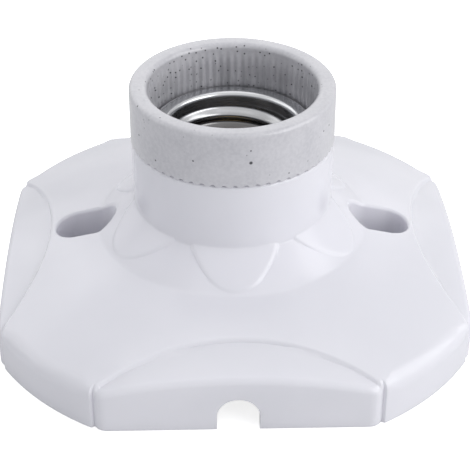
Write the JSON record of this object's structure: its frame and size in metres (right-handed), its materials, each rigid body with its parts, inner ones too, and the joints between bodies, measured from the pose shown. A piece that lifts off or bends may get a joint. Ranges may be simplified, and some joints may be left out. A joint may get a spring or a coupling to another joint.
{
  "type": "batten lamp holder",
  "caption": "Surface-mounted lamp holder: rounded square plastic base with petalled neck, fixing slots and cable notch, and a porcelain ring round a screw shell for a lamp",
  "frame": {"origin": "centre of the base's underside, on the plane of the ceiling or wall that it is screwed to", "axes": "+Z out of the mounting surface along the lamp's axis, +X through the right fixing slot, -Y through the cable notch"},
  "size_m": [0.0964, 0.0964, 0.0499],
  "materials": {
    "housing_plastic": "polished moulding",
    "porcelain": "glazed, with dark speckles",
    "shell_metal": "bright plated sheet",
    "contact_brass": "plain",
    "screw_steel": "zinc plated"
  },
  "bodies": {
    "base": {"base_housing": "housing_plastic", "porcelain_ring": "porcelain", "porcelain_insert": "porcelain", "screw_shell": "shell_metal", "centre_rivet": "contact_brass", "shell_rivet_left": "contact_brass", "shell_rivet_right": "contact_brass", "live_terminal": "contact_brass", "neutral_terminal": "contact_brass"},
    "contact": {"centre_contact": "contact_brass"},
    "live_clamp": {"live_clamp_screw": "screw_steel", "live_clamp_washer": "screw_steel"},
    "neutral_clamp": {"neutral_clamp_screw": "screw_steel", "neutral_clamp_washer": "screw_steel"}
  },
  "joints": [
    {"name": "contact_flex", "type": "hinge", "parent": "base", "child": "contact", "pos_m": [0, 0.0058, 0.02095], "axis": [1, 0, 0], "range_deg": [0, 6], "stiffness_Nm_per_rad": 0.15},
    {"name": "live_clamp_travel", "type": "slide", "parent": "base", "child": "live_clamp", "axis": [0, 0, -1], "range_m": [0, 0.002]},
    {"name": "neutral_clamp_travel", "type": "slide", "parent": "base", "child": "neutral_clamp", "axis": [0, 0, -1], "range_m": [0, 0.002]}
  ]
}
